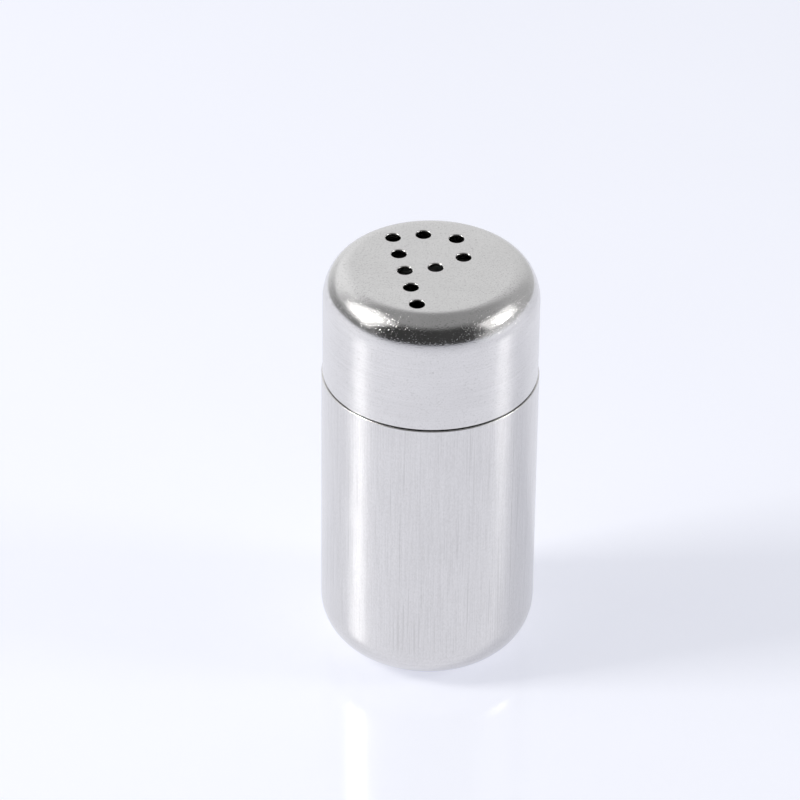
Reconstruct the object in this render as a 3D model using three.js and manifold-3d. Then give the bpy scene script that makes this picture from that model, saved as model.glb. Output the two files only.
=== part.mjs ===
// A pepper shaker in stainless steel, for the table. A deep-drawn can holds the pepper. A neck sleeve is
// pressed into the can's mouth and stands up out of it. A drawn cap with nine sprinkling holes, lined with a
// moulded plastic sleeve, pushes on over that neck until its skirt almost meets the can's rim.
//
// Millimetres, +Z up, the origin at the centre of the base, on the table. The letter that the holes make
// reads upright with +Y away from the reader.

import * as THREE from "three";
import { mergeVertices } from "three/addons/utils/BufferGeometryUtils.js";
import Module from "manifold-3d";

const wasm = await Module();
wasm.setup();

// ---- Driving sizes ----------------------------------------------------------------------------------------

const sheet = 0.5; // steel of the can and the cap
const pressGap = 0.05; // between two pieces that are pressed together

// The can
const canRadius = 20;
const canHeight = 58.75; // table to rim
const canCorner = 9.2; // outside radius between wall and base
const footWidth = 1.2; // the flat ring that the can stands on
const panelRise = 1; // how far the middle of the base is pressed up
const panelRamp = 2.4; // how far in the slope up to that panel takes

// The cap
const capInset = 0.2; // how far the skirt stands inside the can's surface
const capHeight = 22.35; // skirt edge to crown
const shoulderReach = 5.2; // the rounded shoulder between skirt and crown: its extent inwards
const shoulderDepth = 6.6; // and downwards
const seamGap = 0.2; // the hairline between the can's rim and the skirt

// The sprinkling holes
const holeRadius = 1.4;
const holeMargin = 1.87; // from the centre of the outermost hole to the edge of the flat crown
const stemHoles = 5; // holes in the letter's upright
const stemOffset = 5.05; // the upright stands this far left of the axis
const letterDrop = 0.35; // the upright's middle hole is this far below the axis
const bowlHalfWaist = 3.2; // half the distance between the two holes at the bowl's far side

// The plastic liner in the cap
const linerWall = 0.7;
const linerFlange = 0.9; // thickness of the flange that lies on the neck
const linerLift = 1.8; // the liner stops this far above the skirt's edge
const ribCount = 12; // upright ribs that grip the neck
const ribHeight = 0.3;
const ribWidth = 1.2;
const gripGap = 0.05; // between the ribs and the neck

// The neck sleeve
const neckSheet = 0.5;
const neckSeat = 9; // length held by the can
const neckReach = 10; // length above the can's rim
const neckLip = 0.7; // radius of the lip that is rolled inwards at the mouth
const narrowStart = 1.3; // the sleeve starts to narrow this far under the rim
const narrowRise = 1.7; // and has its upper width this far higher
const flangeGap = 0.1; // between the lip and the liner's flange
const flangeOverlap = 0.2; // the flange reaches this far past the lip

// Facets
const roundSides = 72;
const holeSides = 20;
const cornerSteps = 7;
const lipSteps = 4;

// ---- Sizes that follow ------------------------------------------------------------------------------------

const canBore = canRadius - sheet;
const footRadius = canRadius - canCorner;
const capRadius = canRadius - capInset;
const capBore = capRadius - sheet;
const capBottom = canHeight + seamGap;
const capTop = capBottom + capHeight;
const crownRadius = capRadius - shoulderReach;

const linerRadius = capBore - pressGap;
const linerBore = linerRadius - linerWall;
const neckRadius = linerBore - ribHeight - gripGap;
const neckTop = canHeight + neckReach;
const linerBottom = capBottom + linerLift;
const flangeBottom = neckTop + flangeGap;

// The outermost hole, at the foot of the upright, lies this far from the axis, which sets the pitch.
const patternRadius = crownRadius - holeMargin;
const stemHalfLength = Math.sqrt(patternRadius ** 2 - stemOffset ** 2) - letterDrop;
const holePitch = (2 * stemHalfLength) / (stemHoles - 1);

// ---- Helpers ----------------------------------------------------------------------------------------------

const point = (radius, height) => new THREE.Vector2(radius, height);

// Points of an elliptical arc about (radius, height), from one angle to another, both ends included.
function bend(radius, height, reach, rise, from, to, steps) {
  const curve = new THREE.EllipseCurve(radius, height, reach, rise, from, to, to < from);
  return curve.getPoints(steps);
}

// The same with one radius.
const arc = (radius, height, size, from, to, steps) => bend(radius, height, size, size, from, to, steps);

// A closed outline in radius and height, turned about +Z.
function turned(outline) {
  const geometry = new THREE.LatheGeometry([...outline, outline[0].clone()], roundSides);
  return geometry.rotateX(Math.PI / 2);
}

function solidOf(geometry) {
  const bare = geometry.clone().deleteAttribute("normal").deleteAttribute("uv");
  const merged = mergeVertices(bare, 1e-4);
  const vertProperties = merged.attributes.position.array;
  const triVerts = new Uint32Array(merged.index.array);
  return new wasm.Manifold(new wasm.Mesh({ numProp: 3, vertProperties, triVerts }));
}

function geometryOf(solid) {
  const { numProp, vertProperties, triVerts } = solid.getMesh();
  const position = new THREE.InterleavedBufferAttribute(
    new THREE.InterleavedBuffer(vertProperties, numProp), 3, 0);
  const geometry = new THREE.BufferGeometry();
  geometry.setAttribute("position", position);
  geometry.setIndex(new THREE.BufferAttribute(triVerts, 1));
  return geometry.toNonIndexed();
}

function named(name, geometry, material) {
  geometry.computeVertexNormals();
  const mesh = new THREE.Mesh(geometry, material);
  mesh.name = name;
  return mesh;
}

// ---- Materials --------------------------------------------------------------------------------------------

const brushedSteel = new THREE.MeshStandardMaterial({ color: 0xcfd0d4, roughness: 0.34, metalness: 1 });
const satinSteel = new THREE.MeshStandardMaterial({ color: 0xd4d4d6, roughness: 0.28, metalness: 1 });
const brightSteel = new THREE.MeshStandardMaterial({ color: 0xd8d9dc, roughness: 0.15, metalness: 1 });
const milkyPlastic = new THREE.MeshStandardMaterial({ color: 0xe9ebea, roughness: 0.45, metalness: 0 });

// ---- Pieces -----------------------------------------------------------------------------------------------

// The base of the can: the panel, the slope and the foot ring, from the axis outwards, raised by lift.
function baseLine(lift) {
  const footInner = footRadius - footWidth;
  return [
    point(0, panelRise + lift),
    point(footInner - panelRamp, panelRise + lift),
    point(footInner, lift),
    point(footRadius, lift),
  ];
}

// One sheet from the middle of the base, round the corner and up to a square-cut rim.
function canBody() {
  const quarter = Math.PI / 2;
  const outside = [
    ...baseLine(0),
    ...arc(footRadius, canCorner, canCorner, -quarter, 0, cornerSteps).slice(1),
    point(canRadius, canHeight),
  ];
  const inside = [
    point(canBore, canHeight),
    ...arc(footRadius, canCorner, canCorner - sheet, 0, -quarter, cornerSteps),
    ...baseLine(sheet).reverse().slice(1),
  ];
  return named("can_body", turned([...outside, ...inside]), brushedSteel);
}

// A tube that the can grips, a shoulder, and a narrower neck whose mouth is rolled inwards.
function neckSleeve() {
  const seatRadius = canBore - pressGap;
  const narrowBottom = canHeight - narrowStart;
  const narrowTop = narrowBottom + narrowRise;
  const lipCentre = neckRadius - neckLip;
  const lipHeight = neckTop - neckLip;
  const outline = [
    point(seatRadius - neckSheet, narrowBottom - neckSeat),
    point(seatRadius, narrowBottom - neckSeat),
    point(seatRadius, narrowBottom),
    point(neckRadius, narrowTop),
    ...arc(lipCentre, lipHeight, neckLip, 0, Math.PI, lipSteps * 2),
    ...arc(lipCentre, lipHeight, neckLip - neckSheet, Math.PI, 0, lipSteps),
    point(neckRadius - neckSheet, narrowTop),
    point(seatRadius - neckSheet, narrowBottom),
  ];
  return named("neck_sleeve", turned(outline), brightSteel);
}

// Centres of the nine holes: a letter's upright, and a bowl of two near and two far holes.
function holeCentres() {
  const upright = Array.from({ length: stemHoles }, (_, i) =>
    new THREE.Vector2(-stemOffset, stemHalfLength - i * holePitch - letterDrop));
  const waist = upright[1];
  const bowl = [-1, 1].flatMap((side) => [
    new THREE.Vector2(waist.x + holePitch, waist.y + side * holePitch),
    new THREE.Vector2(waist.x + 2 * holePitch, waist.y + side * bowlHalfWaist),
  ]);
  return [...upright, ...bowl];
}

// The drawn cap: crown, corner and skirt in one sheet, with the holes punched through the crown.
function capShell() {
  const quarter = Math.PI / 2;
  const springHeight = capTop - shoulderDepth;
  const shoulder = (inset, from, to) =>
    bend(crownRadius, springHeight, shoulderReach - inset, shoulderDepth - inset, from, to, cornerSteps);
  const outline = [
    point(0, capTop - sheet),
    ...shoulder(sheet, quarter, 0),
    point(capBore, capBottom),
    point(capRadius, capBottom),
    ...shoulder(0, 0, quarter),
    point(0, capTop),
  ];
  let solid = solidOf(turned(outline));
  for (const centre of holeCentres()) {
    const punch = new THREE.CylinderGeometry(holeRadius, holeRadius, shoulderDepth, holeSides);
    punch.rotateX(Math.PI / 2).translate(centre.x, centre.y, capTop);
    solid = solid.subtract(solidOf(punch));
  }
  return named("cap_shell", geometryOf(solid), satinSteel);
}

// A moulded sleeve pressed into the cap, with a flange that lies on the neck's lip and ribs that grip it.
function capLiner() {
  const flangeBore = neckRadius - 2 * neckLip - flangeOverlap;
  const sleeve = turned([
    point(linerBore, linerBottom),
    point(linerRadius, linerBottom),
    point(linerRadius, flangeBottom + linerFlange),
    point(flangeBore, flangeBottom + linerFlange),
    point(flangeBore, flangeBottom),
    point(linerBore, flangeBottom),
  ]);
  let solid = solidOf(sleeve);
  const root = linerWall / 2; // how deep a rib is rooted in the sleeve
  const ribLength = flangeBottom + linerFlange / 2 - linerBottom;
  for (let i = 0; i < ribCount; i += 1) {
    const rib = new THREE.BoxGeometry(ribHeight + root, ribWidth, ribLength);
    rib.translate(linerBore + (root - ribHeight) / 2, 0, linerBottom + ribLength / 2);
    rib.rotateZ((i * 2 * Math.PI) / ribCount);
    solid = solid.add(solidOf(rib));
  }
  return named("cap_liner", geometryOf(solid), milkyPlastic);
}

// ---- Assembly ---------------------------------------------------------------------------------------------

const shaker = new THREE.Group();
shaker.add(canBody(), neckSleeve(), capLiner(), capShell());

export default shaker;
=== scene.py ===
# %% [markdown]
# # A pepper shaker in stainless steel
#
# The real thing is four pieces. A can is deep drawn from one disc of sheet and brushed upright. A neck
# sleeve is pressed into its mouth. A drawn cap with punched holes is lined with a moulded plastic
# sleeve, and pushes on over the neck. The engineering model of those pieces is loaded first. It stays
# as it is, and tells every new piece how big it is and where it goes.

# %% Load the frame
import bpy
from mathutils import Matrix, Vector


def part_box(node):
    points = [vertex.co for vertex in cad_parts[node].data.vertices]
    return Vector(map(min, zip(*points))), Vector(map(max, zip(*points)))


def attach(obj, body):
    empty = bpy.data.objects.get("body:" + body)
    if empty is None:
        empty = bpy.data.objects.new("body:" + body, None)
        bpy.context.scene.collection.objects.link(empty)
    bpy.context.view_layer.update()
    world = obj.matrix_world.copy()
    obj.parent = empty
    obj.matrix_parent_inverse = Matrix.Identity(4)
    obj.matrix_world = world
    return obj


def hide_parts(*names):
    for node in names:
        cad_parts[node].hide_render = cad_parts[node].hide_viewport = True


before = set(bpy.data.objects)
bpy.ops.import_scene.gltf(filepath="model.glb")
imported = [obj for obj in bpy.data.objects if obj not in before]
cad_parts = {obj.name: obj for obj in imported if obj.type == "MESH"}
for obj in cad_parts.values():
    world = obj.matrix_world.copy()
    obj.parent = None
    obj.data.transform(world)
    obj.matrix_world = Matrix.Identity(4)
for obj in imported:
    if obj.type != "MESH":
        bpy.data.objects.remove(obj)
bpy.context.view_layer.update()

# %% Libraries
import math

import bmesh
import bpy
import numpy as np
from mathutils import Quaternion, Vector
from mathutils.geometry import delaunay_2d_cdt

# %% [markdown]
# ## Sizes
#
# Blender works in metres, and a tinsmith in millimetres. The shapes below are worked out in millimetres
# and become metres at the moment when a mesh is made. Radii and heights are measured on the frame.

# %% Measure the frame
MM = 0.001  # metres in a millimetre


def measure(node):
    """Radius, lowest and highest point of a round node, in millimetres."""
    low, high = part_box(node)
    return high[0] / MM, low[2] / MM, high[2] / MM


can_radius, table, can_rim = measure("can_body")
cap_radius, cap_edge, crown = measure("cap_shell")
seat_radius, neck_foot, neck_top = measure("neck_sleeve")
liner_radius, liner_foot, liner_top = measure("cap_liner")
print("can", can_radius, can_rim, "cap", cap_radius, cap_edge, crown, "neck", neck_top, "liner", liner_top)

# %% [markdown]
# These are the design's own values for what a box can't tell: the sheet, the bends, and the holes.

# %% Values of the design, in millimetres
sheet = 0.5  # steel of the can, the cap and the neck
can_corner = 9.2  # outside radius between wall and base
foot_width = 1.2  # flat ring that the can stands on
panel_rise = 1.0  # how far the middle of the base is pressed up
panel_ramp = 2.4  # width of the slope up to it
shoulder_reach = 5.2  # the cap's rounded shoulder, inwards
shoulder_depth = 6.6  # and downwards
hole_radius = 1.4
stem_offset = 5.05  # the letter's upright stands this far left of the axis
letter_drop = 0.35  # its middle hole is this far below the axis
hole_margin = 1.87  # from the lowest hole's centre to the edge of the flat crown
bowl_half_waist = 3.2  # half the distance between the two holes at the bowl's far side
neck_seat = 9.0  # length of the sleeve in the can
narrow_rise = 1.7  # height in which the sleeve narrows
neck_lip = 0.7  # radius of the lip rolled inwards
liner_wall = 0.7
liner_flange = 0.9
flange_overlap = 0.2  # the flange reaches this far past the neck's lip
rib_count = 12
rib_height = 0.3
rib_width = 1.2
grip_gap = 0.05  # between the liner's ribs and the neck
print("sheet", sheet, "mm, with holes of", 2 * hole_radius, "mm and", rib_count, "ribs")

# %% [markdown]
# ## Camera
#
# The camera is set before any piece is made. It is a long lens at nearly a metre, which keeps the
# shaker's sides parallel. It looks down at about 34 degrees, from a little left of the letter's foot,
# and is tipped by less than a degree, as a hand-levelled tripod is.

# %% Camera
camera_azimuth = math.radians(-11.37)
camera_elevation = math.radians(34.08)
camera_distance = 0.9207
camera_tip = math.radians(0.65)
aim_height = 0.0521
aim_left = 0.0055


def around(azimuth, elevation, distance, centre):
    """A point at this distance from centre. Azimuth 0 is in front, on the side of -Y, and 90 is at +X."""
    flat = math.cos(elevation)
    way = Vector((math.sin(azimuth) * flat, -math.cos(azimuth) * flat, math.sin(elevation)))
    return centre + distance * way


camera = bpy.data.objects.new("camera", bpy.data.cameras.new("camera"))
camera.data.lens = 225
camera.data.sensor_width = 36
across = Vector((math.cos(camera_azimuth), math.sin(camera_azimuth), 0))
aim = Vector((0, 0, aim_height)) - aim_left * across
camera.location = around(camera_azimuth, camera_elevation, camera_distance, aim)
level = (aim - camera.location).to_track_quat("-Z", "Y")
camera.rotation_mode = "QUATERNION"
camera.rotation_quaternion = level @ Quaternion((0, 0, 1), camera_tip)
bpy.context.scene.collection.objects.link(camera)
bpy.context.scene.camera = camera
print("camera at", [round(c, 4) for c in camera.location])

# %% [markdown]
# ## Lines for a lathe
#
# Spinning, drawing and turning all make round pieces, so every piece here is an outline carried round
# the axis. A Screw modifier could do it. Here the outline is an array of (radius, height) pairs
# instead, so the same points can also say where a finish starts and ends. Three small functions draw
# the stretches of an outline, and a fourth joins them.


# %% Outline helpers
def bend(centre, reach, rise, start, stop, steps):
    """Points of an elliptical arc: centre + (reach cos a, rise sin a). a goes from start to stop, in
    degrees."""
    a = np.radians(np.linspace(start, stop, steps + 1))
    return np.column_stack([centre[0] + reach * np.cos(a), centre[1] + rise * np.sin(a)])


def straight(start, stop, steps):
    """Points of a straight line, crowded towards both ends by t = (1 - cos(pi s)) / 2 for even s. So the
    shading of a long wall isn't pulled round by the bend next to it."""
    t = (1 - np.cos(np.pi * np.linspace(0, 1, steps + 1)))[:, None] / 2
    return (1 - t) * np.asarray(start) + t * np.asarray(stop)


def ease(start, stop, steps):
    """Points of a soft step between two heights or radii. Radius and height each go by their own share:
    the longer of the two evenly, and the other by (1 - cos(pi s)) / 2."""
    s = np.linspace(0, 1, steps + 1)
    soft = (1 - np.cos(np.pi * s)) / 2
    start, stop = np.asarray(start, float), np.asarray(stop, float)
    even = int(np.argmax(np.abs(stop - start)))
    share = np.column_stack([s if even == 0 else soft, s if even == 1 else soft])
    return start + share * (stop - start)


def joined(*lines):
    """The lines end to end, with each point that repeats the one before it left out."""
    points = np.vstack(lines)
    apart = np.linalg.norm(np.diff(points, axis=0), axis=1) > 1e-6
    return points[np.concatenate([[True], apart])]


# %% [markdown]
# Sheet metal has the same thickness all the way. So one line, the outer face, is enough: the inner face
# is that line moved along its own normal by the thickness. A sheared edge isn't sharp, so both its
# corners get a small radius, and that is what catches the light along the seam.


# %% Sheet metal
def facing(line, side):
    """Unit normals and directions of a line. A normal is the direction turned a quarter, to the left for
    side 1 or the right for -1."""
    along = np.gradient(line, axis=0)
    along /= np.linalg.norm(along, axis=1, keepdims=True)
    return side * np.column_stack([-along[:, 1], along[:, 0]]), along


def sheared_edge(point, inward, onward, thickness, softness, steps=4):
    """The end of a sheet: a quarter circle of radius softness, the cut, and another quarter circle.
    inward points from the outer face to the inner, and onward the way that the sheet was going."""
    a = np.linspace(0, np.pi / 2, steps + 1)[:, None]
    first = point + softness * inward + softness * (np.sin(a) * onward - np.cos(a) * inward)
    second = point + (thickness - softness) * inward
    second = second + softness * (np.cos(a) * onward + np.sin(a) * inward)
    return np.vstack([first, second])


def sheet_outline(line, thickness, side, softness, both_ends=False):
    """The outline of a sheet whose outer face is line: out along line, round the sheared edge, and back
    along line + thickness * normal. With both_ends, the start is sheared too, and closes the outline."""
    inward, onward = facing(line, side)
    parts = [line, sheared_edge(line[-1], inward[-1], onward[-1], thickness, softness)]
    parts.append((line + thickness * inward)[::-1])
    if both_ends:
        parts.append(sheared_edge(line[0], inward[0], -onward[0], thickness, softness)[::-1])
    return joined(*parts)


# %% [markdown]
# ## From outline to surface
#
# The lathe step is one outer product: every outline point times every angle. Each patch keeps a UV map,
# with U round the axis and V along the outline, because the brush lines and the sheen follow those two
# directions. Patches that share an edge have the same points there, so welding them closes the piece.


# %% The lathe and the weld
def lathe(outline, sides, centre=(0.0, 0.0), closed=True):
    """A patch from an outline: (cx + r cos t, cy + r sin t, z) for each outline point (r, z) and each of
    the angles t. The outline runs round the metal anticlockwise, so that faces look outwards; one that
    doesn't is turned over first. Returns points, quads and each quad corner's (u, v)."""
    r, z = outline.T
    if (r * np.roll(z, -1) - np.roll(r, -1) * z).sum() < 0:
        outline = outline[::-1]
    if closed:
        outline = np.vstack([outline, outline[:1]])
    r, z = outline.T
    t = np.linspace(0, 2 * np.pi, sides, endpoint=False)
    x = centre[0] + np.outer(r, np.cos(t))
    y = centre[1] + np.outer(r, np.sin(t))
    points = np.stack([x, y, np.repeat(z[:, None], sides, axis=1)], axis=2)
    row, turn = np.meshgrid(np.arange(len(r) - 1), np.arange(sides), indexing="ij")
    rows = np.stack([row, row, row + 1, row + 1], axis=2)
    turns = np.stack([turn, turn + 1, turn + 1, turn], axis=2)
    quads = rows * sides + turns % sides
    along = np.concatenate([[0], np.cumsum(np.linalg.norm(np.diff(outline, axis=0), axis=1))])
    uv = np.stack([turns / sides, along[rows] / along[-1]], axis=3)
    return points.reshape(-1, 3), quads.reshape(-1, 4), uv.reshape(-1, 2)


weld_distance = 1e-7  # metres


def make_piece(name, patches, body, node):
    """Joins patches, given in millimetres, into one mesh in metres, welds what they share, files the
    piece under the body it moves with, and hides the node that it stands for."""
    starts = np.cumsum([0] + [len(points) for points, _, _ in patches])
    faces = [face for (_, f, _), start in zip(patches, starts) for face in (f + start).tolist()]
    mesh = bpy.data.meshes.new(name)
    mesh.from_pydata(np.vstack([points for points, _, _ in patches]) * MM, [], faces)
    uv_map = mesh.uv_layers.new(name="turned")
    uv_map.data.foreach_set("uv", np.vstack([uv for _, _, uv in patches]).ravel())
    work = bmesh.new()
    work.from_mesh(mesh)
    bmesh.ops.remove_doubles(work, verts=work.verts, dist=weld_distance)
    open_edges = sum(not edge.is_manifold for edge in work.edges)
    volume = work.calc_volume(signed=True) / MM**3
    print(f"{name}: {len(work.faces)} faces, {open_edges} open edges, {volume:.0f} mm3")
    work.to_mesh(mesh)
    work.free()
    mesh.shade_smooth()
    piece = bpy.data.objects.new(name, mesh)
    bpy.context.scene.collection.objects.link(piece)
    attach(piece, body)
    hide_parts(node)
    return piece


# %% [markdown]
# ## The can
#
# One disc of sheet, drawn to a cup in a few strokes. The punch leaves a large radius at the base, and a
# last stroke presses the middle up, so that the can stands on a ring and doesn't rock. The rim is
# trimmed square.

# %% The can
round_sides = 288  # chords of 0.4 mm, which no outline shows
foot_outer = can_radius - can_corner
foot_inner = foot_outer - foot_width
rim_softness = 0.16  # radius on each corner of the trimmed rim
can_line = joined(
    straight((0, table + panel_rise), (foot_inner - panel_ramp, table + panel_rise), 10),
    ease((foot_inner - panel_ramp, table + panel_rise), (foot_inner, table), 14),
    straight((foot_inner, table), (foot_outer, table), 4),
    bend((foot_outer, table + can_corner), can_corner, can_corner, -90, 0, 40),
    straight((can_radius, table + can_corner), (can_radius, can_rim - rim_softness), 40),
)
can_outline = sheet_outline(can_line, sheet, 1, rim_softness)
can = make_piece("can", [lathe(can_outline, round_sides, closed=False)], "can", "can_body")

# %% [markdown]
# ## The neck sleeve
#
# A short tube, pressed into the can. It narrows just above the rim, and its mouth is rolled inwards,
# which stiffens it and takes away the sharp edge where pepper is poured in.

# %% The neck sleeve
neck_radius = liner_radius - liner_wall - rib_height - grip_gap
lip_centre = (neck_radius - neck_lip, neck_top - neck_lip)
lip_turn = 205  # degrees that the lip is rolled through
sleeve_softness = 0.2
narrow_from = neck_foot + neck_seat
neck_line = joined(
    straight((seat_radius, neck_foot + sleeve_softness), (seat_radius, narrow_from), 14),
    ease((seat_radius, narrow_from), (neck_radius, narrow_from + narrow_rise), 16),
    straight((neck_radius, narrow_from + narrow_rise), (neck_radius, lip_centre[1]), 14),
    bend(lip_centre, neck_lip, neck_lip, 0, lip_turn, 26),
)
neck_outline = sheet_outline(neck_line, sheet, 1, sleeve_softness, both_ends=True)
neck = make_piece("neck", [lathe(neck_outline, round_sides)], "can", "neck_sleeve")

# %% [markdown]
# ## The liner
#
# A polypropylene sleeve, moulded in one piece. Its flange closes on the neck's lip, and its ribs grip
# the neck, so the cap stays on when the shaker is turned over. A rib could be an object of its own. In
# a moulding it grows out of the wall with a soft root, so here the bore's radius is a function of the
# angle instead: the wall is drawn in wherever a rib stands.


# %% The liner
def rib_profile(turn, height):
    """How far the bore is drawn in at an angle and height: rib_height times a soft plateau, 1 within the
    rib's width and falling to 0 over its flanks, times a soft start over the lead-in at the bottom."""
    pitch = 2 * np.pi / rib_count
    off_centre = np.abs((turn + pitch / 2) % pitch - pitch / 2) * liner_bore
    flank = np.clip((rib_width / 2 + rib_flank - off_centre) / (2 * rib_flank), 0, 1)
    start = np.clip((height - liner_foot - lead_in) / lead_in, 0, 1)
    return rib_height * (3 * flank**2 - 2 * flank**3) * (3 * start**2 - 2 * start**3)


liner_bore = liner_radius - liner_wall
flange_bore = neck_radius - 2 * neck_lip - flange_overlap
flange_under = liner_top - liner_flange
rib_flank = 0.18  # half the width over which a rib's side fades into the wall
lead_in = 0.7  # the bare stretch under a rib, and the rise of its start
mould_softness = 0.15  # moulded edges are never sharper than this


def mould_corner(radius, height, start):
    """A quarter circle on an edge of the moulding, about (radius, height), from start in degrees."""
    return bend((radius, height), mould_softness, mould_softness, start, start + 90, 4)


foot_level = liner_foot + mould_softness
top_level = liner_top - mould_softness
outer_edge = liner_radius - mould_softness
flange_edge = flange_bore + mould_softness
liner_outline = joined(
    mould_corner(liner_bore + mould_softness, foot_level, 180),
    mould_corner(outer_edge, foot_level, -90),
    straight((liner_radius, foot_level), (liner_radius, top_level), 12),
    mould_corner(outer_edge, top_level, 0),
    straight((outer_edge, liner_top), (flange_edge, liner_top), 8),
    mould_corner(flange_edge, top_level, 90),
    mould_corner(flange_edge, flange_under + mould_softness, 180),
    straight((flange_edge, flange_under), (liner_bore, flange_under), 10),
    straight((liner_bore, flange_under), (liner_bore, foot_level), 28),
)
rib_sides = rib_count * 60  # 60 columns of faces from one rib to the next
points, quads, uv = lathe(liner_outline, rib_sides)
radius = np.hypot(points[:, 0], points[:, 1])
turn = np.arctan2(points[:, 1], points[:, 0])
on_bore = (np.abs(radius - liner_bore) < 1e-6) & (points[:, 2] < flange_under + 1e-6)
drawn_in = np.where(on_bore, rib_profile(turn, points[:, 2]), 0)
points[:, :2] *= ((radius - drawn_in) / radius)[:, None]
liner = make_piece("liner", [(points, quads, uv)], "liner", "cap_liner")

# %% [markdown]
# ## The cap
#
# The cap is drawn like the can, and then nine holes are punched through its crown from above. A boolean
# could cut them, but the punch doesn't leave a sharp hole: it drags the sheet down with it, so the
# upper edge is rolled over and the lower one is nearly sharp. So each hole's wall is a small lathe
# patch about its own axis. What is left of the crown is a flat web with nine round windows, which is
# triangulated. Shoulder and skirt are one more lathe patch.

# %% Where the holes are
crown_radius = cap_radius - shoulder_reach
pattern_radius = crown_radius - hole_margin
stem_half = math.sqrt(pattern_radius**2 - stem_offset**2) - letter_drop
hole_pitch = stem_half / 2
upright = [(-stem_offset, stem_half - i * hole_pitch - letter_drop) for i in range(5)]
waist_x, waist_y = upright[1]
bowl = [(waist_x + hole_pitch, waist_y + side * hole_pitch) for side in (-1, 1)]
bowl += [(waist_x + 2 * hole_pitch, waist_y + side * bowl_half_waist) for side in (-1, 1)]
holes = np.array(upright + bowl)
print("holes:", holes.round(2).tolist(), "pitch", round(hole_pitch, 3))

# %% Check the holes against the frame
node_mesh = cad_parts["cap_shell"].data
places = np.empty(len(node_mesh.vertices) * 3, np.float32)
node_mesh.vertices.foreach_get("co", places)
places = places.reshape(-1, 3) / MM
on_crown = places[:, 2] > crown - 0.01
within = np.hypot(places[:, 0], places[:, 1]) < crown_radius - 0.3
rims = places[on_crown & within]
nearest = np.linalg.norm(rims[:, None, :2] - holes, axis=2).min(axis=1)
furthest_off = float(np.abs(nearest - hole_radius).max())
print("hole rims of the frame lie off these circles by", round(furthest_off, 3), "mm")


# %% [markdown]
# The web has to meet both the shoulder and the holes point for point. A constrained Delaunay
# triangulation takes those loops as they are and fills in between, and a sheet of loose points in a
# hexagonal pattern keeps its triangles small and even.


# %% The crown's web
def loop(centre, radius, count):
    """Points of a circle: centre + radius (cos t, sin t), at even angles t from zero."""
    t = np.linspace(0, 2 * np.pi, count, endpoint=False)
    return np.column_stack([centre[0] + radius * np.cos(t), centre[1] + radius * np.sin(t)])


def honeycomb(radius, spacing):
    """Points of a hexagonal pattern inside a circle: rows spacing * sqrt(3) / 2 apart, with every other
    one moved by half a spacing."""
    count = int(radius / spacing) + 2
    steps = np.arange(-count, count + 1)
    row, column = np.meshgrid(steps, steps, indexing="ij")
    x = (column + 0.5 * (row % 2)) * spacing
    y = row * spacing * math.sqrt(3) / 2
    points = np.column_stack([x.ravel(), y.ravel()])
    return points[np.hypot(*points.T) < radius]


def triangulate(edge, windows, spacing):
    """The flat web inside the loop edge and outside the windows, each a centre and its ring of points.
    Returns 2D points and anticlockwise triangles."""
    fill = honeycomb(np.hypot(*edge[0]) - spacing / 2, spacing)
    for centre, ring in windows:
        clear = np.linalg.norm(ring[0] - centre) + spacing / 2
        fill = fill[np.linalg.norm(fill - centre, axis=1) > clear]
    loops = [edge] + [ring for _, ring in windows]
    starts = np.cumsum([0] + [len(ring) for ring in loops])
    sides = [(start + i, start + (i + 1) % len(ring))
             for start, ring in zip(starts, loops) for i in range(len(ring))]
    given = [Vector(p) for p in np.vstack([*loops, fill]).tolist()]
    found, _, triangles, *_ = delaunay_2d_cdt(given, sides, [], 0, 1e-7)
    found, triangles = np.array(found), np.array(triangles)
    middles = found[triangles].mean(axis=1)
    solid = np.ones(len(triangles), bool)
    for centre, ring in windows:
        within = 0.995 * np.linalg.norm(ring[0] - centre)  # the chords of a ring lie just inside its circle
        solid &= np.linalg.norm(middles - centre, axis=1) > within
    return found, triangles[solid]


# %% The cap's patches
rollover = 0.2  # radius of the punched edge, above
burr = 0.06  # and below
hole_flat = 0.06  # flat ring between the rollover and the web
window = hole_radius + rollover + hole_flat
hole_sides = 48
shoulder_flat = 0.05  # flat ring between the web and the shoulder
web_radius = crown_radius - shoulder_flat
web_spacing = 0.6
edge_softness = 0.14
under = crown - sheet
windows = [(hole, loop(hole, window, hole_sides)) for hole in holes]
flat, triangles = triangulate(loop((0, 0), web_radius, round_sides), windows, web_spacing)
print("web:", len(flat), "points,", len(triangles), "triangles")


def web_patch(height, faces):
    """The web at one height, with a UV map that spreads it over the unit square."""
    points = np.column_stack([flat, np.full(len(flat), height)])
    return points, faces, (flat[faces].reshape(-1, 2) / (2 * cap_radius) + 0.5)


cap_line = joined(
    straight((web_radius, crown), (crown_radius, crown), 1),
    bend((crown_radius, crown - shoulder_depth), shoulder_reach, shoulder_depth, 90, 0, 44),
    straight((cap_radius, crown - shoulder_depth), (cap_radius, cap_edge + edge_softness), 18),
)
hole_outline = joined(
    [(window, crown)],
    bend((hole_radius + rollover, crown - rollover), rollover, rollover, 90, 180, 7),
    bend((hole_radius + burr, under + burr), burr, burr, 180, 270, 3),
    [(window, under)],
)
cap_patches = [
    web_patch(crown, triangles),
    web_patch(under, triangles[:, ::-1]),
    lathe(sheet_outline(cap_line, sheet, -1, edge_softness), round_sides, closed=False),
]
cap_patches += [lathe(hole_outline, hole_sides, centre=hole, closed=False) for hole in holes]
cap = make_piece("cap", cap_patches, "cap", "cap_shell")
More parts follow.
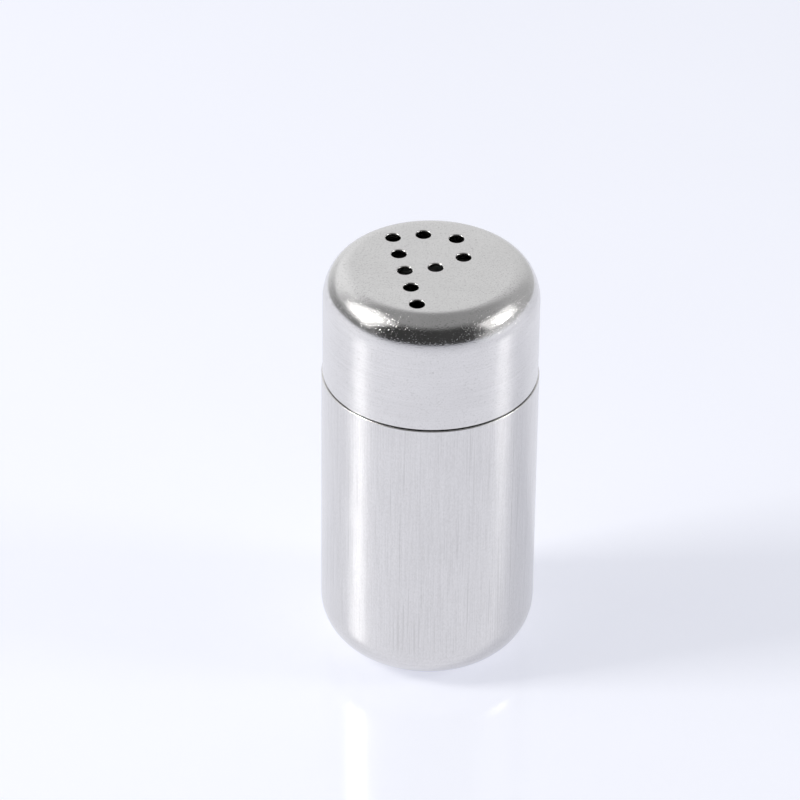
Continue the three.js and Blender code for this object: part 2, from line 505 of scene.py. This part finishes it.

# %% [markdown]
# ## Colours and nodes
#
# A colour is written as sRGB hex, as a screen shows it, and one function turns it into
# the linear light that Cycles adds up. One more function adds a node with its settings and links, so a
# material reads as a list of what feeds what. The others here are the few shapes of pattern that every
# finish is made of.


# %% Colour and node helpers
def linear(code):
    """A hex colour as linear RGBA: ((c + 0.055) / 1.055) ** 2.4, or c / 12.92 for the darkest."""
    c = np.array([int(code[i:i + 2], 16) for i in (1, 3, 5)]) / 255
    return [*np.where(c <= 0.04045, c / 12.92, ((c + 0.055) / 1.055) ** 2.4).tolist(), 1.0]


def add(tree, kind, inputs=None, **settings):
    """Adds a node. settings are its own properties. inputs gives each input socket, by name or number, a
    value or what feeds it: an output, or a node, which stands for its first output."""
    made = tree.nodes.new("ShaderNode" + kind)
    for name, value in settings.items():
        setattr(made, name, value)
    for name, value in (inputs or {}).items():
        if isinstance(value, bpy.types.Node):
            value = value.outputs[0]
        if isinstance(value, bpy.types.NodeSocket):
            tree.links.new(value, made.inputs[name])
        else:
            made.inputs[name].default_value = value
    return made


def new_material(name):
    """An empty material and its node tree."""
    material = bpy.data.materials.new(name)
    material.use_nodes = True
    material.node_tree.nodes.clear()
    return material, material.node_tree


def soft_step(tree, value, start, stop, low=0.0, high=1.0):
    """Goes smoothly from low to high as value goes from start to stop."""
    inputs = {"Value": value, "From Min": start, "From Max": stop, "To Min": low, "To Max": high}
    return add(tree, "MapRange", inputs, interpolation_type="SMOOTHSTEP").outputs["Result"]


def weighted(tree, *terms, start=0.0):
    """The sum of start and value * weight, for each (value, weight) in terms."""
    total = start
    for value, weight in terms:
        total = add(tree, "Math", {0: value, 1: weight, 2: total}, operation="MULTIPLY_ADD")
    return total


def grain(tree, place, size, detail=2.0, roughness=0.5):
    """Noise from 0 to 1 whose grains are size millimetres long on each axis."""
    per_metre = [1 / (side * MM) for side in size]
    stretched = add(tree, "VectorMath", {0: place, 1: per_metre}, operation="MULTIPLY")
    inputs = {"Vector": stretched, "Scale": 1.0, "Detail": detail, "Roughness": roughness}
    return add(tree, "TexNoise", inputs).outputs["Fac"]


def from_axis(tree, place):
    """Distance from the shaker's axis: the length of (x, y, 0)."""
    flat_place = add(tree, "VectorMath", {0: place, 1: (1, 1, 0)}, operation="MULTIPLY")
    return add(tree, "VectorMath", {0: flat_place}, operation="LENGTH").outputs["Value"]


def finish_piece(piece, material):
    """Gives a piece its finish and says what it is."""
    piece.data.materials.append(material)
    print(f"{piece.name}: {material.name}, {len(material.node_tree.nodes)} nodes")


# %% [markdown]
# ## Hairline steel, for the can
#
# The can is grade 304 stainless steel. After drawing it is turned over to a belt that brushes it along
# its height, a number 4 or hairline finish. The belt leaves upright scratches some hundredths of a
# millimetre wide, a few deeper ones where a loose grain ran, and a fine grit between them. They spread
# reflections round the can but hardly along it, so the surface is anisotropic: the highlight is a soft
# upright band. The base turns away from the belt, and keeps faint rings from the lathe that smoothed
# it. Marks that fine would vanish at this distance, so they are drawn 0.15 to 0.4 mm wide.


# %% Hairline steel
belt_ends = 4.0  # height under which the belt doesn't reach
belt_presses = 13.0  # and above which it presses fully


def hairline_steel():
    material, tree = new_material("hairline_304_steel")
    place = add(tree, "TexCoord").outputs["Object"]
    height = add(tree, "SeparateXYZ", {0: place}).outputs["Z"]
    wall = soft_step(tree, height, belt_ends * MM, belt_presses * MM)
    fine = grain(tree, place, (0.14, 0.14, 12))
    bold = grain(tree, place, (0.3, 0.3, 26), detail=1)
    grit = grain(tree, place, (0.3, 0.3, 0.5), detail=1)
    cloud = grain(tree, place, (9, 9, 14))
    spun = grain(tree, add(tree, "CombineXYZ", {"X": from_axis(tree, place), "Y": height}), (0.4, 0.6, 1))
    fine_lines = add(tree, "Math", {0: weighted(tree, (fine, 1), start=-0.5), 1: wall}, operation="MULTIPLY")
    scratches = add(tree, "Math", {0: soft_step(tree, bold, 0.37, 0.29), 1: wall}, operation="MULTIPLY")
    off_belt = weighted(tree, (wall, -1), start=1)
    rings = add(tree, "Math", {0: weighted(tree, (spun, 1), start=-0.5), 1: off_belt}, operation="MULTIPLY")
    tone = weighted(tree, (fine_lines, 0.9), (grit, 0.7), (scratches, -0.45), (cloud, 0.3), (rings, 0.5),
                    start=-0.35)
    shade = soft_step(tree, tone, -0.45, 0.75)
    colour = add(tree, "Mix", {"Factor": shade, "A": linear("#d0cecc"), "B": linear("#e5e3e1")},
                 data_type="RGBA")
    rough = soft_step(tree, weighted(tree, (cloud, 1), (fine_lines, 1)), 0.2, 0.8, 0.19, 0.22)
    depth = weighted(tree, (fine_lines, 1), (scratches, -1))
    relief = add(tree, "Bump", {"Strength": 0.6, "Distance": 0.008 * MM, "Height": depth})
    brushed_way = add(tree, "Tangent", direction_type="UV_MAP", uv_map="turned")
    shader = add(tree, "BsdfPrincipled", {
        "Base Color": colour.outputs["Result"], "Metallic": 1.0, "Roughness": rough, "Anisotropic": 0.5,
        "Tangent": brushed_way, "Normal": relief})
    add(tree, "OutputMaterial", {"Surface": shader})
    return material


finish_piece(can, hairline_steel())


# %% [markdown]
# ## Turned and polished steel, for the cap
#
# The cap is the same steel with three finishes. Its skirt was held in a lathe against emery cloth,
# which leaves faint level lines. Its shoulder was buffed, so it mirrors the room, with the small pits
# that buffing doesn't reach. Its crown was pressed flat by a matt die before the holes were punched,
# and is satin, and that satin fades out over the top of the shoulder. The radius and the height of a
# point say which finish it gets. Pits and dust are drawn 0.2 to 0.9 mm wide, which is coarser than real
# ones.


# %% Three finishes on one sheet
satin_inside = crown_radius + 0.3  # fully satin within this radius
satin_outside = crown_radius + 3.4  # and fully buffed outside this one
skirt_top = crown - shoulder_depth
skirt_below = skirt_top + 1.2  # fully turned under this height
skirt_above = skirt_top + 2.6  # and not at all above this one


def cap_steel():
    material, tree = new_material("turned_and_buffed_304_steel")
    place = add(tree, "TexCoord").outputs["Object"]
    height = add(tree, "SeparateXYZ", {0: place}).outputs["Z"]
    satin = soft_step(tree, from_axis(tree, place), satin_outside * MM, satin_inside * MM)
    skirt = soft_step(tree, height, skirt_above * MM, skirt_below * MM)
    rings = grain(tree, place, (22, 22, 0.3), detail=3, roughness=0.6)
    cloud = grain(tree, place, (6, 6, 6))
    dust = grain(tree, place, (0.2, 0.2, 0.2), detail=1)
    pits = soft_step(tree, grain(tree, place, (0.3, 0.3, 0.3), detail=0), 0.38, 0.26)
    dents = soft_step(tree, grain(tree, place, (0.9, 0.9, 0.9), detail=1), 0.27, 0.22)
    turned_lines = add(tree, "Math", {0: rings, 1: skirt}, operation="MULTIPLY")
    tone = weighted(tree, (cloud, 0.35), (turned_lines, 0.5), (dust, 0.4), (dents, -0.5), (pits, -0.3))
    colour = add(tree, "Mix", {"Factor": tone, "A": linear("#cbc9c7"), "B": linear("#e9e7e5")},
                 data_type="RGBA")
    rough = weighted(tree, (skirt, 0.13), (satin, 0.1), (cloud, 0.04), start=0.1)
    turned_relief = add(tree, "Bump", {
        "Strength": weighted(tree, (skirt, 0.7)), "Distance": 0.003 * MM, "Height": rings})
    relief = add(tree, "Bump", {
        "Strength": weighted(tree, (skirt, -1), start=1), "Distance": 0.012 * MM,
        "Height": weighted(tree, (dust, 1), (pits, -1)), "Normal": turned_relief})
    shader = add(tree, "BsdfPrincipled", {
        "Base Color": colour.outputs["Result"], "Metallic": 1.0, "Roughness": rough, "Normal": relief})
    add(tree, "OutputMaterial", {"Surface": shader})
    return material


finish_piece(cap, cap_steel())


# %% [markdown]
# ## Bright rolled steel, for the neck
#
# The sleeve is cut from tube and only polished by its own tools, so it is smoother than the can, with
# faint lines round it where the rollers closed the lip.


# %% Bright steel
def bright_steel():
    material, tree = new_material("bright_rolled_304_steel")
    place = add(tree, "TexCoord").outputs["Object"]
    rings = grain(tree, place, (30, 30, 0.25), detail=3, roughness=0.6)
    cloud = grain(tree, place, (5, 5, 3))
    colour = add(tree, "Mix", {"Factor": cloud, "A": linear("#d2d3d6"), "B": linear("#ebecee")},
                 data_type="RGBA")
    rough = soft_step(tree, weighted(tree, (cloud, 1), (rings, 1)), 0.6, 1.4, 0.14, 0.24)
    relief = add(tree, "Bump", {"Strength": 0.6, "Distance": 0.003 * MM, "Height": rings})
    shader = add(tree, "BsdfPrincipled", {
        "Base Color": colour.outputs["Result"], "Metallic": 1.0, "Roughness": rough, "Normal": relief})
    add(tree, "OutputMaterial", {"Surface": shader})
    return material


finish_piece(neck, bright_steel())


# %% [markdown]
# ## Polypropylene, for the liner
#
# Unfilled polypropylene is milky: light goes a little way in and comes out again, which softens its
# shadows. The mould was spark eroded, so the surface is a fine even matt.


# %% Milky polypropylene
def milky_polypropylene():
    material, tree = new_material("moulded_polypropylene")
    place = add(tree, "TexCoord").outputs["Object"]
    cloud = grain(tree, place, (4, 4, 4))
    spark = grain(tree, place, (0.25, 0.25, 0.25))
    colour = add(tree, "Mix", {"Factor": cloud, "A": linear("#e3e6e4"), "B": linear("#f1f2f1")},
                 data_type="RGBA")
    rough = soft_step(tree, cloud, 0.2, 0.8, 0.38, 0.48)
    relief = add(tree, "Bump", {"Strength": 0.5, "Distance": 0.006 * MM, "Height": spark})
    shader = add(tree, "BsdfPrincipled", {
        "Base Color": colour.outputs["Result"], "Roughness": rough, "IOR": 1.49, "Subsurface Weight": 0.3,
        "Subsurface Radius": (1.0, 1.0, 1.0), "Subsurface Scale": 0.8 * MM, "Normal": relief})
    add(tree, "OutputMaterial", {"Surface": shader})
    return material


finish_piece(liner, milky_polypropylene())


# %% [markdown]
# ## The studio
#
# Metal shows what stands round it, so the room is part of the look. The shaker stands on a light table:
# a sheet of opal acrylic that glows from below, which keeps the shadow under the shaker pale. Its
# polished face gives back a faint streak. The sheet is wide to the front and the right, and ends not
# far behind the shaker.


# %% The light table
def opal_acrylic():
    material, tree = new_material("opal_acrylic")
    place = add(tree, "TexCoord").outputs["Object"]
    cloud = grain(tree, place, (60, 60, 60))
    colour = add(tree, "Mix", {"Factor": cloud, "A": linear("#c9c9ca"), "B": linear("#cdcdce")},
                 data_type="RGBA")
    shader = add(tree, "BsdfPrincipled", {
        "Base Color": colour.outputs["Result"], "Roughness": 0.1, "IOR": 1.28,
        "Emission Color": linear("#edf0ff"), "Emission Strength": 0.58})
    add(tree, "OutputMaterial", {"Surface": shader})
    return material


ahead = Vector((math.sin(camera_azimuth), -math.cos(camera_azimuth), 0))
table_drop = 1e-5  # metres that the table lies under the base, so that the two faces don't fight
table_level = Vector((0, 0, table * MM - table_drop))
table_plan = [(-1.2, 3), (3, 3), (3, -1.35), (0.1, -0.28), (-1.2, -0.2)]  # metres to the right, and in front
table_mesh = bpy.data.meshes.new("table")
table_corners = [side * across + depth * ahead + table_level for side, depth in table_plan]
table_mesh.from_pydata(table_corners, [], [(0, 1, 2, 3, 4)])
table_mesh.materials.append(opal_acrylic())
table_top = bpy.data.objects.new("table", table_mesh)
bpy.context.scene.collection.objects.link(table_top)
print("table at", round(table_level.z / MM, 3), "mm")

# %% [markdown]
# From some sides the sheet's far edge would come into view. A pale paper sweep just under it hides
# that. Only the camera sees the paper: the metal still mirrors the room as it is, with the edge of the
# sheet in it.


# %% The paper behind
def pale_paper():
    material, tree = new_material("pale_paper")
    place = add(tree, "TexCoord").outputs["Object"]
    cloud = grain(tree, place, (90, 90, 90))
    colour = add(tree, "Mix", {"Factor": cloud, "A": linear("#f2f5fd"), "B": linear("#f5f8ff")},
                 data_type="RGBA")
    glow = add(tree, "Emission", {"Color": colour.outputs["Result"]})
    add(tree, "OutputMaterial", {"Surface": glow})
    return material


paper_drop = 2e-4  # metres under the base
paper_reach = 4  # metres from the shaker, each way
paper_level = Vector((0, 0, table * MM - paper_drop))
paper_corners = [x * paper_reach * across + y * paper_reach * ahead + paper_level
                 for x, y in [(-1, 1), (1, 1), (1, -1), (-1, -1)]]
paper_mesh = bpy.data.meshes.new("paper")
paper_mesh.from_pydata(paper_corners, [], [(0, 1, 2, 3)])
paper_mesh.materials.append(pale_paper())
paper = bpy.data.objects.new("paper", paper_mesh)
bpy.context.scene.collection.objects.link(paper)
paper.visible_diffuse = False
paper.visible_glossy = False
paper.visible_transmission = False
paper.visible_shadow = False
print("paper", 2 * paper_reach, "m across")


# %% [markdown]
# A softbox stands at the shaker's left and another at its right. Each is two lamps: the wide pale
# cloth, and a small bright patch where the flash tube shines through it. Directions in the room are
# counted as a photographer would: an azimuth from the camera, to its right, and an elevation above the
# table. A lamp's power follows from how bright it should look, because an area lamp of one watt and one
# square metre shines a quarter.


# %% Softboxes
lamp_distance = 0.9
lamp_aim = Vector((0, 0, 0.04))  # about the middle of the shaker


def softbox(name, azimuth, elevation, wide, high, brightness, lean=0):
    """A rectangular lamp that faces the shaker. All but the brightness is in degrees, as the shaker sees it:
    its place, its width and height, and how far it leans."""
    lamp = bpy.data.objects.new(name, bpy.data.lights.new(name, "AREA"))
    lamp.data.shape = "RECTANGLE"
    lamp.data.size = 2 * lamp_distance * math.tan(math.radians(wide / 2))
    lamp.data.size_y = 2 * lamp_distance * math.tan(math.radians(high / 2))
    lamp.data.energy = 4 * brightness * lamp.data.size * lamp.data.size_y
    turn = camera_azimuth + math.radians(azimuth)
    lamp.location = around(turn, math.radians(elevation), lamp_distance, lamp_aim)
    lamp.rotation_mode = "QUATERNION"
    upright = (lamp_aim - lamp.location).to_track_quat("-Z", "Y")
    lamp.rotation_quaternion = upright @ Quaternion((0, 0, 1), math.radians(lean))
    bpy.context.scene.collection.objects.link(lamp)
    print(name, round(lamp.data.energy, 2), "W")


softbox("softbox_left", azimuth=-80, elevation=37, wide=42, high=44, brightness=0.65, lean=-18)
softbox("flash_left", azimuth=-80, elevation=35, wide=14, high=20, brightness=14)
softbox("softbox_right", azimuth=81, elevation=28, wide=40, high=28, brightness=0.65)
softbox("flash_right", azimuth=82, elevation=24, wide=13, high=12, brightness=9)


# %% [markdown]
# The rest is the world. Behind the camera the room is dark, which draws the dark band along the
# polished shoulder. The wall behind the table is white, the ceiling is grey, and just over the table's
# edge there is a strip of shade. An image could hold all that. Two rings of grey and the ceiling,
# blended by elevation, are enough, and they can be read and changed. Matt surfaces get the room at half
# strength, so that the lamps do most of the lighting and the shadow keeps its soft edge.


# %% The room
shade_ends = (4, 14)  # the strip of shade gives way to the walls between these elevations
walls_end = (38, 62)  # and the walls to the ceiling between these
room_on_matt = 0.5  # the room's strength as matt surfaces get it


def ring(tree, turn, stops):
    """Greys round the horizon, a little blue, from (azimuth in degrees, level) pairs."""
    ramp = add(tree, "ValToRGB", {"Fac": turn})
    elements = ramp.color_ramp.elements
    while len(elements) < len(stops):
        elements.new(0.5)
    for element, (azimuth, level) in zip(elements, stops):
        element.position = azimuth / 360 + 0.5
        element.color = (level, level * 1.015, level * 1.04, 1)
    return ramp.outputs["Color"]


def room():
    """The world's colour, by direction."""
    world = bpy.data.worlds.new("room")
    world.use_nodes = True
    tree = world.node_tree
    tree.nodes.clear()
    way = add(tree, "TexCoord").outputs["Generated"]
    forwards = add(tree, "VectorMath", {0: way, 1: ahead}, operation="DOT_PRODUCT").outputs["Value"]
    sideways = add(tree, "VectorMath", {0: way, 1: across}, operation="DOT_PRODUCT").outputs["Value"]
    level = add(tree, "CombineXYZ", {"X": forwards, "Y": sideways})
    turn = add(tree, "TexGradient", {"Vector": level}, gradient_type="RADIAL").outputs["Fac"]
    height = add(tree, "SeparateXYZ", {0: way}).outputs["Z"]
    rise = add(tree, "Math", {0: add(tree, "Math", {0: height}, operation="ARCSINE")}, operation="DEGREES")
    shade = ring(tree, turn, [
        (-180, 0.86), (-160, 0.90), (-145, 0.75), (-130, 0.45), (-110, 0.28), (-60, 0.20), (-45, 0.06),
        (42, 0.06), (60, 0.7), (80, 0.8), (100, 0.6), (120, 0.5), (140, 0.58), (160, 0.75), (180, 0.86)])
    walls = ring(tree, turn, [
        (-180, 0.88), (-155, 1.05), (-130, 1.0), (-112, 0.6), (-70, 0.35), (-55, 0.1), (-48, 0.05),
        (42, 0.06), (60, 0.25), (108, 0.5), (132, 0.5), (150, 0.76), (180, 0.88)])
    ceiling = [0.35, 0.355, 0.364, 1]
    over_table = soft_step(tree, rise, *shade_ends)
    over_walls = soft_step(tree, rise, *walls_end)
    low = add(tree, "Mix", {"Factor": over_table, "A": shade, "B": walls}, data_type="RGBA")
    every = add(tree, "Mix", {"Factor": over_walls, "A": low.outputs["Result"], "B": ceiling},
                data_type="RGBA")
    on_matt = add(tree, "LightPath").outputs["Is Diffuse Ray"]
    strength = weighted(tree, (on_matt, room_on_matt - 1), start=1)
    background = add(tree, "Background", {"Color": every.outputs["Result"], "Strength": strength})
    add(tree, "OutputWorld", {"Surface": background})
    print("room:", len(tree.nodes), "nodes")
    return world


bpy.context.scene.world = room()
bpy.context.scene.view_settings.view_transform = "Standard"
